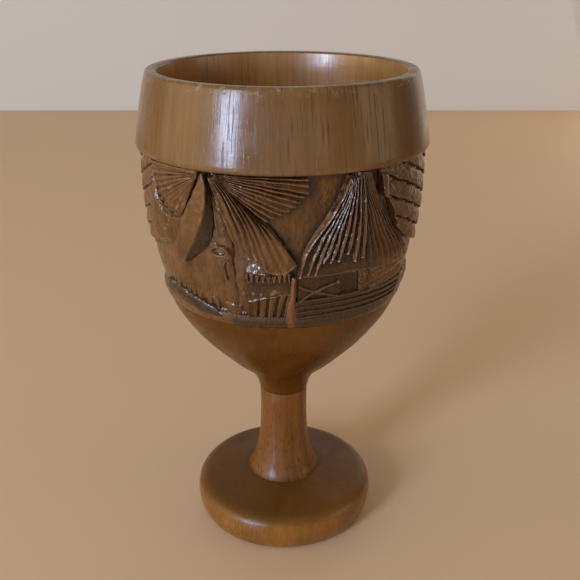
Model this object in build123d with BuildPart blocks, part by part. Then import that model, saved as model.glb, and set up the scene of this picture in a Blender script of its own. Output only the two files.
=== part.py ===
from build123d import *
from math import cos, radians, sin, sqrt
import os

# A turned and carved hardwood goblet in three pieces: bowl, stem and foot.
# +Z is up, the origin is the centre of the foot's underside, and the front of the carving faces -Y.

# --- Driving dimensions, in millimetres ---------------------------------------------------------

# Foot: a turned disc with a rounded edge under a low dome
foot_height = 17.8
foot_radius = 36.4
foot_base_radius = 33.0
foot_widest_height = 8.5
foot_shoulder_radius = 31.0
foot_shoulder_height = 14.7

# Stem: a slim spindle that flares where it meets the foot
stem_length = 37.7
stem_radius = 9.35
stem_base_radius = 14.0
stem_flare_height = 24.0
stem_flare_middle_radius = 11.0
stem_flare_middle_height = 9.0

# Glued joints: a round tenon at each end of the stem, in a blind mortise
tenon_radius = 6.0
tenon_length = 10.5
tenon_chamfer = 0.8
glue_gap = 0.08
mortise_spare_depth = 0.6

# Bowl, outside: cup, carved frieze and plain rim band, stacked
cup_height = 47.5
frieze_height = 51.0
band_gap = 0.6
band_height = 25.4
cup_cove_radius = 14.8
cup_cove_height = 10.5
cup_flank_curve = 100.0
band_radius = 51.3
band_underside_round = 1.2
rim_outer_round = 0.9

# How far the bowl's outside lies in from the band's radius, at points up its side
frieze_base_inset = 6.7
frieze_low_inset = 2.8
frieze_high_inset = 0.6
frieze_top_inset = 0.3
band_middle_inset = 1.9
rim_inset = 4.9

# Bowl, inside: a straight mouth over a rounded well, with solid wood left under it
rim_width = 3.7
mouth_base_share = 0.69
well_wall = 11.1
well_middle_drop = 5.0
well_floor_thickness = 7.4

# Carving: how deep the ground lies behind the turned surface, and how deep its cuts are
ground_depths = (1.0, 2.5, 3.0, 3.2)
root_depth = 1.4
root_reach = 10.0
rib_cut_width = 2.0
rib_cut_depth = 1.1
rib_cut_start = 0.15
rib_cut_end = 1.06
rib_start_size = 0.5
slat_cut_width = 1.2
slat_cut_depth = 0.7
scale_cut_width = 1.8
scale_cut_depth = 1.2
cut_overrun = 1.0
cut_span = 18
leg_overlap = 0.4
roof_strands = 9
small_hut_slats = 5
hut_planks = 4
scale_rows = 5
fruit_half_span = 40
fruit_middle_share = 0.7
fruit_half_share = 0.34

# Where each group of the carving stands, in degrees round the bowl from the front. The back repeats
# the palm and the huts in mirror image, turned by back_turn.
palm_turn = -28
little_hut_turn = -3
thatched_hut_turn = 26
fruit_turn = 74
left_fruit_turn = -75
back_turn = 160

# How far each form of the carving is sunk behind the turned surface
high_fan_sunk = 0.0
leaf_sunk = 0.05
roof_sunk = 0.1
fruit_sunk = 0.02
left_fan_sunk = 0.5
low_fan_sunk = 0.4
trunk_sunk = 1.0
eave_sunk = 0.7
wall_sunk = 1.3
base_sunk = 0.15

# --- Heights and radii that follow from them ----------------------------------------------------

stem_base_z = foot_height
bowl_base_z = stem_base_z + stem_length
frieze_base_z = bowl_base_z + cup_height
frieze_top_z = frieze_base_z + frieze_height
band_base_z = frieze_top_z + band_gap
rim_z = band_base_z + band_height
band_middle_radius = band_radius - band_middle_inset
rim_radius = band_radius - rim_inset
frieze_base_radius = band_radius - frieze_base_inset
mortise_radius = tenon_radius + glue_gap
mortise_depth = tenon_length + mortise_spare_depth
mouth_radius = rim_radius - rim_width
mouth_base_z = frieze_base_z + mouth_base_share * frieze_height
well_middle_radius = frieze_base_radius - well_wall
well_middle_z = frieze_base_z - well_middle_drop
well_floor_z = bowl_base_z + mortise_depth + well_floor_thickness
core_radius = mouth_radius - root_reach

# The frieze's turned surface: its radius at shares of the frieze's height, from its base to its top
turned_surface = (
    (frieze_base_radius, 0.0),
    (band_radius - frieze_low_inset, 0.31),
    (band_radius - frieze_high_inset, 0.61),
    (band_radius - frieze_top_inset, 1.0),
)


def level(share):
    """Height of a point of the carving, from its share of the frieze's height."""
    return frieze_base_z + share * frieze_height


def turned_outline(insets):
    """Corners of the frieze's outline up the side of the bowl, each set in by its own depth."""
    return [
        (radius - inset, level(share))
        for (radius, share), inset in zip(turned_surface, insets)
    ]


# --- Foot ----------------------------------------------------------------------------------------

with BuildPart() as foot:
    with BuildSketch(Plane.XZ):
        with BuildLine():
            Polyline((0, foot_height), (0, 0), (foot_base_radius, 0))
            edge = TangentArc(
                (foot_radius, foot_widest_height), (foot_base_radius, 0), tangent=(0, -1)
            )
            shoulder = TangentArc(
                (foot_radius, foot_widest_height), (foot_shoulder_radius, foot_shoulder_height), tangent=(0, 1)
            )
            dome = TangentArc(shoulder @ 1, (stem_base_radius, foot_height), tangent=shoulder % 1)
            Line(dome @ 1, (0, foot_height))
        make_face()
    revolve(axis=Axis.Z)
    with Locations((0, 0, foot_height)):
        Hole(mortise_radius, depth=mortise_depth)
foot.part.label = "foot"

# --- Stem ----------------------------------------------------------------------------------------

with BuildPart() as stem:
    with BuildSketch(Plane.XZ):
        with BuildLine():
            Polyline((0, bowl_base_z), (0, stem_base_z), (stem_base_radius, stem_base_z))
            flare = Spline(
                (stem_base_radius, stem_base_z),
                (stem_flare_middle_radius, stem_base_z + stem_flare_middle_height),
                (stem_radius, stem_base_z + stem_flare_height),
                tangents=[(-0.5, 1), (0, 1)],
            )
            Polyline(flare @ 1, (stem_radius, bowl_base_z), (0, bowl_base_z))
        make_face()
    revolve(axis=Axis.Z)
    with BuildSketch(Plane.XY.offset(bowl_base_z)):
        Circle(tenon_radius)
    extrude(amount=tenon_length)
    with BuildSketch(Plane.XY.offset(stem_base_z)):
        Circle(tenon_radius)
    extrude(amount=-tenon_length)
    tenon_ends = stem.edges().filter_by(GeomType.CIRCLE).sort_by(Axis.Z)
    chamfer([tenon_ends[0], tenon_ends[-1]], length=tenon_chamfer)
stem.part.label = "stem"

# --- Carving: how its forms are drawn ------------------------------------------------------------
# A point of the carving is (degrees round the bowl from the front, share of the frieze's height).
# Each group of forms is drawn at the front, then turned to its place round the bowl.


def surface_radius(share):
    """Radius of the turned surface at a share of the frieze's height."""
    for (low, start), (high, end) in zip(turned_surface, turned_surface[1:]):
        if share <= end:
            break
    return low + (high - low) * (share - start) / (end - start)


def facing(turn):
    """Level direction that faces out of the bowl at a turn from the front."""
    return Vector(sin(radians(turn)), -cos(radians(turn)), 0)


def toward(start, end, share):
    """Point at a share of the way from start to end."""
    return tuple(a + (b - a) * share for a, b in zip(start, end))


def vee_cut(start, end, width, depth, start_size=1.0):
    """V-shaped gouge cut along the turned surface, in straight legs, which may start shallower than it ends."""
    legs = 1 + int(abs(end[0] - start[0]) / cut_span)
    bottoms = []
    for i in range(legs + 1):
        turn, share = toward(start, end, i / legs)
        sunk = depth * (start_size + (1 - start_size) * i / legs)
        bottoms.append(facing(turn) * (surface_radius(share) - sunk) + Vector(0, 0, level(share)))
    rise = depth + cut_overrun
    flare = rise * width / (2 * depth)
    with BuildPart() as cut:
        for i in range(legs):
            along = (bottoms[i + 1] - bottoms[i]).normalized()
            outward = facing(toward(start, end, (i + 0.5) / legs)[0])
            leg_start = Plane(bottoms[i] - along * leg_overlap, x_dir=along.cross(outward), z_dir=along)
            with BuildSketch(leg_start):
                with BuildLine():
                    Polyline((0, 0), (-flare, -rise), (flare, -rise), close=True)
                make_face()
            extrude(amount=(bottoms[i + 1] - bottoms[i]).length + 2 * leg_overlap)
    return cut.part


def between(first, middle, last, share):
    """Point on the smooth curve that starts at first, passes middle halfway and ends at last."""
    weights = ((1 - share) * (1 - 2 * share), 4 * share * (1 - share), share * (2 * share - 1))
    return tuple(sum(w * p[k] for w, p in zip(weights, (first, middle, last))) for k in (0, 1))


def carved(corners, sunk, *cut_passes):
    """One form of the carving: its outline, trimmed to the turned surface or sunk behind it, then its cuts."""
    outline = [(band_radius * sin(radians(turn)), level(share)) for turn, share in corners]
    with BuildPart() as form:
        with BuildSketch(Plane.XZ.offset(core_radius)):
            with BuildLine():
                Polyline(*outline, close=True)
            make_face()
        extrude(amount=band_radius - core_radius)
        face_corners = turned_outline((min(sunk, base_sunk), sunk, sunk, sunk))
        root_corners = turned_outline([depth + root_depth for depth in ground_depths])
        with BuildSketch(Plane.XZ):
            with BuildLine():
                Polyline(*face_corners, *reversed(root_corners), close=True)
            make_face()
        revolve(axis=Axis.Z, mode=Mode.INTERSECT)
        for cuts in cut_passes:
            add(cuts, mode=Mode.SUBTRACT)
    return form.part


def fan(apex, first, middle, last, ribs, sunk):
    """Ribbed palm frond: a fan that spreads from its apex, with a cut between each two ribs."""
    tips = [between(first, middle, last, i / ribs) for i in range(ribs + 1)]
    cuts = [
        vee_cut(
            toward(apex, tip, rib_cut_start), toward(apex, tip, rib_cut_end),
            rib_cut_width, sunk + rib_cut_depth, rib_start_size,
        )
        for tip in tips[1:-1]
    ]
    return carved([apex, *tips], sunk, cuts)


def palm():
    """Palm tree: a ringed trunk, a leaf folded along its middle and three fans round one crown."""
    leaf = [(-2.2, 0.99), (-12, 0.75), (-16, 0.56), (-15.5, 0.46), (-12.5, 0.41), (-8.5, 0.43)]
    leaf += [(-3, 0.5), (1.8, 0.57), (0.8, 0.75), (-0.8, 0.96)]
    fold = vee_cut((-1.2, 0.9), (-2.5, 0.5), rib_cut_width, rib_cut_depth, rib_start_size)
    trunk = [(-0.8, 0.965), (3.4, 0.7), (3.6, 0.0), (14, 0.0), (10.5, 0.55), (2.0, 0.965)]
    rings = [
        vee_cut((2, share), (16, share), slat_cut_width, trunk_sunk + slat_cut_depth)
        for share in (0.07, 0.15, 0.47, 0.54)
    ]
    return [
        carved(trunk, trunk_sunk, rings),
        carved(leaf, leaf_sunk, [fold]),
        fan((-2.7, 1.0), (-12, 0.7), (-24.5, 0.76), (-29, 0.99), 7, left_fan_sunk),
        fan((2.6, 0.975), (18, 0.45), (27, 0.43), (33.7, 0.5), 7, low_fan_sunk),
        fan((7.6, 1.0), (22.5, 0.76), (32.5, 0.81), (37.7, 1.0), 9, high_fan_sunk),
    ]


def small_hut():
    """Little hut: a thatch eave over a plain lintel and a wall of upright slats."""
    eave = [(-7.5, 0.35), (-6.5, 0.5), (-2, 0.46), (8.5, 0.42), (8.5, 0.35)]
    wall = [(-7.5, 0.03), (-7.5, 0.37), (8.5, 0.37), (8.5, 0.03)]
    turns = [-5.5 + 11.5 * i / (small_hut_slats - 1) for i in range(small_hut_slats)]
    slats = [
        vee_cut((turn, 0.23), (turn, 0.0), slat_cut_width, wall_sunk + slat_cut_depth)
        for turn in turns
    ]
    return [carved(eave, eave_sunk), carved(wall, wall_sunk, slats)]


def big_hut():
    """Big hut: a bell-shaped thatch roof combed into strands, over a plank wall with a doorway."""
    left = [between((-1.4, 0.99), (-13.4, 0.64), (-19.7, 0.38), i / 4) for i in range(5)]
    right = [between((38.5, 0.41), (22, 0.68), (5.6, 0.99), i / 4) for i in range(5)]
    strands = []
    for i in range(1, roof_strands):
        line = [toward(left[k], right[-1 - k], i / roof_strands) for k in range(5)]
        top = toward(line[0], line[1], 0.3)
        strands.append(
            vee_cut(top, line[2], rib_cut_width, roof_sunk + rib_cut_depth, rib_start_size)
        )
        strands.append(vee_cut(line[2], line[4], rib_cut_width, roof_sunk + rib_cut_depth))
    doorway = [(-2.5, 0.36), (-2.5, 0.2), (5, 0.2), (5, 0.36)]
    wall = [(-21, 0.02), (-21, 0.39), *doorway, (36, 0.4), (39, 0.02)]
    planks = [
        vee_cut((-19, share), (37, share + 0.03), slat_cut_width, wall_sunk + slat_cut_depth)
        for share in [0.04 + 0.12 * i / (hut_planks - 1) for i in range(hut_planks)]
    ]
    return [
        carved(left + [(6, 0.35)] + right, roof_sunk, strands),
        carved(wall, wall_sunk, planks),
    ]


def scaled_fruit():
    """Large fruit under the band, its skin cut crosswise into scales."""
    low = [between((-36, 0.99), (-19, 0.54), (4, 0.37), i / 4) for i in range(5)]
    high = [between((15, 0.37), (31, 0.54), (42, 0.99), i / 4) for i in range(5)]
    crossings = {-1: [], 1: []}
    for i in range(scale_rows):
        offset = 1.7 * (i + 0.5) / scale_rows - 0.85
        reach = sqrt(1 - offset**2)
        for slant, cuts in crossings.items():
            ends = [
                (
                    fruit_half_span * (offset + slant * t) * sqrt(0.5),
                    fruit_middle_share + fruit_half_share * (t - slant * offset) * sqrt(0.5),
                )
                for t in (-reach, reach)
            ]
            cuts.append(vee_cut(*ends, scale_cut_width, scale_cut_depth))
    return [carved(low + high, fruit_sunk, crossings[-1], crossings[1])]


# --- Carving: the scene round the bowl -------------------------------------------------------------


def placed(group, turn, mirrored=False):
    """A group of forms, turned to its place round the bowl, or its mirror image there."""
    forms = [mirror(form, about=Plane.YZ) for form in group] if mirrored else group
    return [form.rotate(Axis.Z, turn) for form in forms]


palm_tree = palm()
little_hut = small_hut()
thatched_hut = big_hut()
fruit = scaled_fruit()

scene = placed(palm_tree, palm_turn) + placed(little_hut, little_hut_turn)
scene += placed(thatched_hut, thatched_hut_turn) + placed(fruit, fruit_turn)
scene += placed(thatched_hut, back_turn - thatched_hut_turn, mirrored=True)
scene += placed(little_hut, back_turn - little_hut_turn, mirrored=True)
scene += placed(palm_tree, back_turn - palm_turn, mirrored=True)
scene += placed(fruit, left_fruit_turn, mirrored=True)

# --- Bowl ----------------------------------------------------------------------------------------

with BuildPart() as bowl:
    with BuildSketch(Plane.XZ) as bowl_outline:
        with BuildLine():
            Line((0, bowl_base_z), (stem_radius, bowl_base_z))
            cove_top = (cup_cove_radius, bowl_base_z + cup_cove_height)
            cup_edge = (frieze_base_radius, frieze_base_z)
            cove = TangentArc((stem_radius, bowl_base_z), cove_top, tangent=(0, 1))
            RadiusArc(cove @ 1, cup_edge, -cup_flank_curve)
            ground = turned_outline(ground_depths)
            Polyline(cup_edge, *ground, (ground[-1][0], band_base_z), (band_radius, band_base_z))
            ThreePointArc(
                (band_radius, band_base_z),
                (band_middle_radius, band_base_z + band_height / 2),
                (rim_radius, rim_z),
            )
            Polyline((rim_radius, rim_z), (0, rim_z), (0, bowl_base_z))
        make_face()
        corners = bowl_outline.vertices()
        fillet(corners.sort_by_distance((band_radius, band_base_z))[0], radius=band_underside_round)
        fillet(corners.sort_by_distance((rim_radius, rim_z))[0], radius=rim_outer_round)
    revolve(axis=Axis.Z)
    with BuildSketch(Plane.XZ):
        with BuildLine():
            Polyline((0, well_floor_z), (0, rim_z), (mouth_radius, rim_z), (mouth_radius, mouth_base_z))
            Spline(
                (mouth_radius, mouth_base_z), (well_middle_radius, well_middle_z), (0, well_floor_z),
                tangents=[(0, -1), (-1, 0)],
            )
        make_face()
    revolve(axis=Axis.Z, mode=Mode.SUBTRACT)
    with BuildSketch(Plane.XY.offset(bowl_base_z)):
        Circle(mortise_radius)
    extrude(amount=mortise_depth, mode=Mode.SUBTRACT)
    for form in scene:
        add(form)
bowl.part.label = "bowl"

# --- Written files ---------------------------------------------------------------------------------

os.makedirs("parts", exist_ok=True)
for name, piece in (("bowl", bowl), ("stem", stem), ("foot", foot)):
    export_step(piece.part, f"parts/{name}.step")
    print(name, "volume", round(piece.part.volume), "mm3, solids", len(piece.part.solids()))
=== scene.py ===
# %% [markdown]
# A turned and carved goblet in stained hardwood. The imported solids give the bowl, the stem and the foot
# their places and sizes. The lesson turns each piece again with finer lines, carves the frieze form by
# form, and stains, polishes and lights the wood.

# %% Load the frame
from math import atan2, cos, degrees, hypot, pi, radians, sin

import bmesh
import bpy
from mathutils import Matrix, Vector, noise
from mathutils.bvhtree import BVHTree


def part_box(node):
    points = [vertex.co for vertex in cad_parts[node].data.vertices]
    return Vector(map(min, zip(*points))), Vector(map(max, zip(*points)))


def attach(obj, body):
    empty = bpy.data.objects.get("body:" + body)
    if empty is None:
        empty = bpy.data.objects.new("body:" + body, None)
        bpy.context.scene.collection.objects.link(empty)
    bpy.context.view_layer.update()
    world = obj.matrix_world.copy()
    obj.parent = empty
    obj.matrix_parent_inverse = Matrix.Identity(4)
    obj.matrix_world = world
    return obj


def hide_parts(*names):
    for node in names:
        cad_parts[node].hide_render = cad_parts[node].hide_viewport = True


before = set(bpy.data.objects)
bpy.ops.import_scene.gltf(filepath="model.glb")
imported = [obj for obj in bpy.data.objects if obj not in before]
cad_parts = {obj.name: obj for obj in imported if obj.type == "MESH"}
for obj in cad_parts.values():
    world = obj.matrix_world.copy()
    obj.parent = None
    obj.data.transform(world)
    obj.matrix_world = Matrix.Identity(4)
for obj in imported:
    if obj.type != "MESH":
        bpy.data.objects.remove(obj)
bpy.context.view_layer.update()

# %% [markdown]
# Everything on a turned goblet is a radius at a height. All lengths below are millimetres, because a
# turner thinks in them. One helper turns them into metres round the vertical axis, and another reads
# them back.

# %% Lengths and heights
MM = 0.001
rim_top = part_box("bowl")[1][2] / MM
bowl_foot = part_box("bowl")[0][2] / MM
foot_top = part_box("foot")[1][2] / MM
print("rim", rim_top, "bowl starts", bowl_foot, "foot ends", foot_top)


def round_axis(turn, radius, height):
    """Point at a turn from the front in degrees, and a radius and height in millimetres."""
    around = radians(turn)
    return Vector((radius * sin(around), -radius * cos(around), height)) * MM


def turner_terms(place):
    """Turn, radius and height of a point given in metres."""
    return degrees(atan2(place.x, -place.y)), hypot(place.x, place.y) / MM, place.z / MM


# %% [markdown]
# Hand work is never quite even. Two helpers serve every shape and stain below: a smooth rise between two
# values, and a noise that wanders slowly from place to place. The noise has seeds, so that the goblet
# comes out the same each time.

# %% Uneven hand work
def fade(value, start, end):
    """0 before the start, 1 after the end, and a smooth rise between them."""
    t = min(max((value - start) / (end - start), 0.0), 1.0)
    return t * t * (3 - 2 * t)


def wander(point, waves, seed):
    """Small smooth unevenness of hand work, with so many waves a millimetre."""
    return noise.noise(Vector(point) * waves + Vector((seed, seed * 1.7, -seed)))


# %% [markdown]
# The frieze has two skins: the turned surface that the carver started from, and the ground that the
# carver cut down to between the forms. Every carved form lies between the two, under the band.

# %% The frieze's two skins
turned_skin = [(101.0, 43.5), (103.0, 44.6), (106.0, 45.7), (110.0, 46.8), (114.0, 47.7), (118.0, 48.5),
               (121.0, 49.1), (124.0, 49.6), (128.0, 50.05), (132.0, 50.5), (138.0, 50.9), (144.0, 51.1),
               (150.0, 51.0), (155.0, 50.8)]
ground_skin = [(101.0, 42.9), (103.6, 43.1), (107.4, 43.6), (112.0, 45.0), (116.0, 45.95),
               (120.0, 46.6), (126.0, 47.2), (134.0, 47.5), (145.0, 47.6), (155.0, 47.5)]
under_band = 154.75


def stepped(line, height):
    """Radius of a line of (height, radius) points at a height."""
    if height <= line[0][0]:
        return line[0][1]
    for (low, start), (high, end) in zip(line, line[1:]):
        if height <= high:
            return start + (end - start) * (height - low) / (high - low)
    return line[-1][1]


def skin(height, sunk):
    """Radius of a point of the carving, sunk behind the turned surface."""
    return stepped(turned_skin, height) - sunk


def ground(height):
    """Radius of the ground between the carved forms."""
    return stepped(ground_skin, height)


print("depth of the frieze under the band", round(skin(under_band, 0) - ground(under_band), 2))

# %% [markdown]
# A finished piece is one closed mesh at the origin, with its faces outwards. Edges sharper than a limit stay
# crisp, and the rest shade smoothly, as sanded and cut wood does. Each point also keeps two numbers that the
# finishes read: how much stain and painted shade lie there, and how much the polish is rubbed.

# %% Finish a mesh
made = {}


def finish_piece(name, mesh_work, material, sharp=38):
    """Store a mesh as one piece on the root body, with its material."""
    for number in ("stain_and_shade", "rubbed"):
        if number not in mesh_work.verts.layers.float:
            mesh_work.verts.layers.float.new(number)
    mesh = bpy.data.meshes.new(name)
    mesh_work.to_mesh(mesh)
    open_edges = sum(1 for edge in mesh_work.edges if not edge.is_manifold)
    mesh_work.free()
    mesh.shade_smooth()
    mesh.set_sharp_from_angle(angle=radians(sharp))
    mesh.materials.append(material)
    piece = bpy.data.objects.new(name, mesh)
    bpy.context.collection.objects.link(piece)
    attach(piece, "root")
    made[name] = piece
    print(name, len(mesh.polygons), "faces, open edges", open_edges)
    return piece


# %% [markdown]
# Wood finishes. All six are one stained hardwood under a thin polish: fibres and dark pores run up the
# goblet, the stain is uneven, and the polish is glossier on the carving. They are made of nodes, because
# a pattern that reads the place on the piece runs over every edge as grain does. Long chains of nodes
# are tiring to write, so a small class gives each kind of node a short call.

# %% Node helpers
class Recipe:
    """Builds one material's node tree with short calls."""

    def __init__(self, name):
        self.material = bpy.data.materials.new(name)
        self.material.use_nodes = True
        self.tree = self.material.node_tree
        self.shader = self.tree.nodes["Principled BSDF"]
        self.place = self.add("ShaderNodeTexCoord").outputs["Object"]

    def add(self, kind, **settings):
        node = self.tree.nodes.new(kind)
        for key, value in settings.items():
            setattr(node, key, value)
        return node

    def link(self, out, into):
        self.tree.links.new(out, into)

    def feed(self, socket, value):
        """Give a socket a number, a colour or another node's output."""
        if isinstance(value, (int, float)):
            socket.default_value = value
        elif isinstance(value, tuple):
            socket.default_value = (*value, 1.0)
        else:
            self.link(value, socket)

    def unroll(self, radius):
        """Measure the place along a turned surface, so that the grain follows it upwards."""
        split = self.add("ShaderNodeSeparateXYZ")
        flat = self.add("ShaderNodeCombineXYZ")
        upright = self.add("ShaderNodeCombineXYZ")
        unit = self.add("ShaderNodeVectorMath", operation="NORMALIZE")
        around = self.add("ShaderNodeVectorMath", operation="SCALE")
        total = self.add("ShaderNodeVectorMath", operation="ADD")
        around.inputs["Scale"].default_value = radius * MM
        self.link(self.place, split.inputs["Vector"])
        self.link(split.outputs["X"], flat.inputs["X"])
        self.link(split.outputs["Y"], flat.inputs["Y"])
        self.link(split.outputs["Z"], upright.inputs["Z"])
        self.link(flat.outputs["Vector"], unit.inputs[0])
        self.link(unit.outputs["Vector"], around.inputs[0])
        self.link(around.outputs["Vector"], total.inputs[0])
        self.link(upright.outputs["Vector"], total.inputs[1])
        self.place = total.outputs["Vector"]

    def attribute(self, name):
        return self.add("ShaderNodeAttribute", attribute_name=name).outputs["Fac"]

    def cloud(self, waves, offset=(0, 0, 0), detail=3.0, rough=0.55, twist=0.0):
        """Noise with so many waves a metre along each axis, moved by an offset."""
        mapping = self.add("ShaderNodeMapping")
        mapping.inputs["Scale"].default_value = waves
        mapping.inputs["Location"].default_value = offset
        self.link(self.place, mapping.inputs["Vector"])
        node = self.add("ShaderNodeTexNoise")
        node.inputs["Scale"].default_value = 1.0
        node.inputs["Detail"].default_value = detail
        node.inputs["Roughness"].default_value = rough
        node.inputs["Distortion"].default_value = twist
        self.link(mapping.outputs["Vector"], node.inputs["Vector"])
        return node.outputs["Fac"]

    def ramp(self, fac, *stops):
        """Colour ramp through (position, colour) stops."""
        node = self.add("ShaderNodeValToRGB")
        points = node.color_ramp.elements
        while len(points) < len(stops):
            points.new(0.5)
        for point, (position, colour) in zip(points, stops):
            point.position = position
            point.color = (*colour, 1.0)
        self.link(fac, node.inputs["Fac"])
        return node.outputs["Color"]

    def grey(self, fac, low, high, dark=0.0, light=1.0):
        """Smooth rise from dark to light while the input goes from low to high."""
        node = self.add("ShaderNodeMapRange", interpolation_type="SMOOTHSTEP")
        limits = {"From Min": low, "From Max": high, "To Min": dark, "To Max": light}
        for key, value in limits.items():
            node.inputs[key].default_value = value
        self.link(fac, node.inputs["Value"])
        return node.outputs["Result"]

    def math(self, operation, a, b):
        node = self.add("ShaderNodeMath", operation=operation)
        self.feed(node.inputs[0], a)
        self.feed(node.inputs[1], b)
        return node.outputs["Value"]

    def mix(self, fac, a, b, blend="MIX"):
        """Mix two colours; sockets 0, 6 and 7 are the factor and the two colours."""
        node = self.add("ShaderNodeMix", data_type="RGBA", blend_type=blend)
        self.feed(node.inputs[0], fac)
        self.feed(node.inputs[6], a)
        self.feed(node.inputs[7], b)
        return node.outputs[2]

    def shade(self, colour, amount):
        """Darken a colour where the amount is below one."""
        grey = self.ramp(amount, (0.0, (0, 0, 0)), (1.0, (1, 1, 1)))
        return self.mix(1.0, colour, grey, "MULTIPLY")

    def bump(self, height, depth, strength, below=None):
        """Relief of a depth in millimetres, over the relief below it."""
        node = self.add("ShaderNodeBump")
        node.inputs["Distance"].default_value = depth * MM
        node.inputs["Strength"].default_value = strength
        self.link(height, node.inputs["Height"])
        if below is not None:
            self.link(below, node.inputs["Normal"])
        return node.outputs["Normal"]


# %% [markdown]
# Bare stained wood. A broad cloud and narrow streaks move the tone between three colours, fine fibres
# shade it, and dark pores stand in crowds. Each cloud is stretched along the goblet, because the blank
# was turned with its grain upright.

# %% The bare wood
def darker(colour, share):
    """A share of a colour's light."""
    return tuple(part * share for part in colour)


def bare_wood(wood, tones, pores, pores_a_metre):
    """Colour of the stained wood, with its fibres and a mask of its pores."""
    light, mid, dark = tones
    broad = wood.cloud((26, 26, 9), detail=4, twist=0.6)
    streak = wood.cloud((260, 260, 6), offset=(7, 2, 5), detail=3)
    tone = wood.math("ADD", wood.math("MULTIPLY", broad, 0.70), wood.math("MULTIPLY", streak, 0.30))
    colour = wood.ramp(tone, (0.30, dark), (0.5, mid), (0.70, light))
    fibre = wood.cloud((1100, 1100, 26), offset=(3, 1, 0), detail=4, rough=0.62)
    colour = wood.shade(colour, wood.grey(fibre, 0.35, 0.7, 0.82, 1.0))
    pore = wood.cloud((2400, 2400, pores_a_metre), offset=(1, 9, 2), detail=2, rough=0.5)
    crowd = wood.cloud((30, 30, 14), offset=(6, 3, 3), detail=2)
    crowded = wood.grey(crowd, 0.40, 0.62, 0.15 * pores, pores)
    pore_mask = wood.math("MULTIPLY", wood.grey(pore, 0.59, 0.65), crowded)
    return wood.mix(pore_mask, colour, darker(dark, 0.30)), fibre, pore_mask


# %% [markdown]
# The polish is thin: it shines more in some patches than in others, and it is duller in the pores and where
# stain and painted shade lie. The surface is never flat, so fibres, a slow ripple and the pores press into
# it.

# %% The polish and the relief
def polish(wood, roughness, shine, pore_mask, stain_and_shade, dulled):
    """Roughness that varies from patch to patch between two values, and the strength of the shine."""
    patch = wood.cloud((120, 120, 60), offset=(2, 5, 1), detail=4, rough=0.6)
    rough = wood.grey(patch, 0.35, 0.68, *roughness)
    matt = wood.math("ADD", wood.math("MULTIPLY", pore_mask, 0.2), wood.math("MULTIPLY", stain_and_shade, dulled))
    wood.link(wood.math("ADD", rough, matt), wood.shader.inputs["Roughness"])
    wood.shader.inputs["IOR"].default_value = 1.5
    wood.feed(wood.shader.inputs["Specular IOR Level"], shine)


def rippled(wood, below):
    """A slow ripple, as a scraper and a cloth leave it."""
    ripple = wood.cloud((60, 60, 300), offset=(9, 1, 4), detail=2)
    return wood.bump(ripple, 0.20, 0.30, below)


def finish_wood(wood, colour, relief, pore_mask):
    """Join the colour and the relief, with the pores pressed in, to the shader."""
    wood.link(colour, wood.shader.inputs["Base Color"])
    pored = wood.bump(wood.math("SUBTRACT", 1.0, pore_mask), 0.05, 0.4, relief)
    wood.link(pored, wood.shader.inputs["Normal"])
    print("finish", wood.material.name, len(wood.tree.nodes), "nodes")
    return wood.material


# %% [markdown]
# The turned parts are smooth. Settled stain, and painted shade on the bowl beside the carving, make them
# deeper and less shiny, and where hands and tables rub an edge the paler wood comes through in nicks. The
# band and the stem unroll their grain, so that the pores follow their slanting sides.

# %% Turned wood
def turned_wood(name, tones, roughness, pores=0.5, pores_a_metre=100, shine=0.5, unrolled=0, stain_and_shade_share=0.5,
                wear=0.0):
    """Smooth hardwood: its tones, its polish, how dark its pores are and how many lie in a metre, the radius
    that its grain is unrolled on, and how much of the stain and painted shade and of the wear shows."""
    wood = Recipe(name)
    if unrolled:
        wood.unroll(unrolled)
    colour, fibre, pore_mask = bare_wood(wood, tones, pores, pores_a_metre)
    stain_and_shade = wood.attribute("stain_and_shade")
    red, green, blue = tones[2]
    # Stain and painted shade move the colour towards a deeper, greyer brown.
    colour = wood.mix(wood.math("MULTIPLY", stain_and_shade, stain_and_shade_share), colour, (0.60 * red, 0.74 * green, 1.2 * blue))
    relief = wood.bump(fibre, 0.05, 0.45)
    if wear:
        nick = wood.cloud((420, 420, 700), offset=(2, 8, 6), detail=4, rough=0.7)
        nicked = wood.grey(nick, 0.54, 0.64, 0.10 * wear, wear)
        worn = wood.math("MULTIPLY", wood.attribute("rubbed"), nicked)
        colour = wood.mix(worn, colour, (0.40, 0.24, 0.11))
        relief = wood.bump(wood.math("SUBTRACT", 1.0, worn), 0.20, 0.6, relief)
    shine_left = wood.math("SUBTRACT", shine, wood.math("MULTIPLY", stain_and_shade, 0.65 * shine))
    polish(wood, roughness, shine_left, pore_mask, stain_and_shade, dulled=0.15)
    return finish_wood(wood, colour, rippled(wood, relief), pore_mask)
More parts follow.
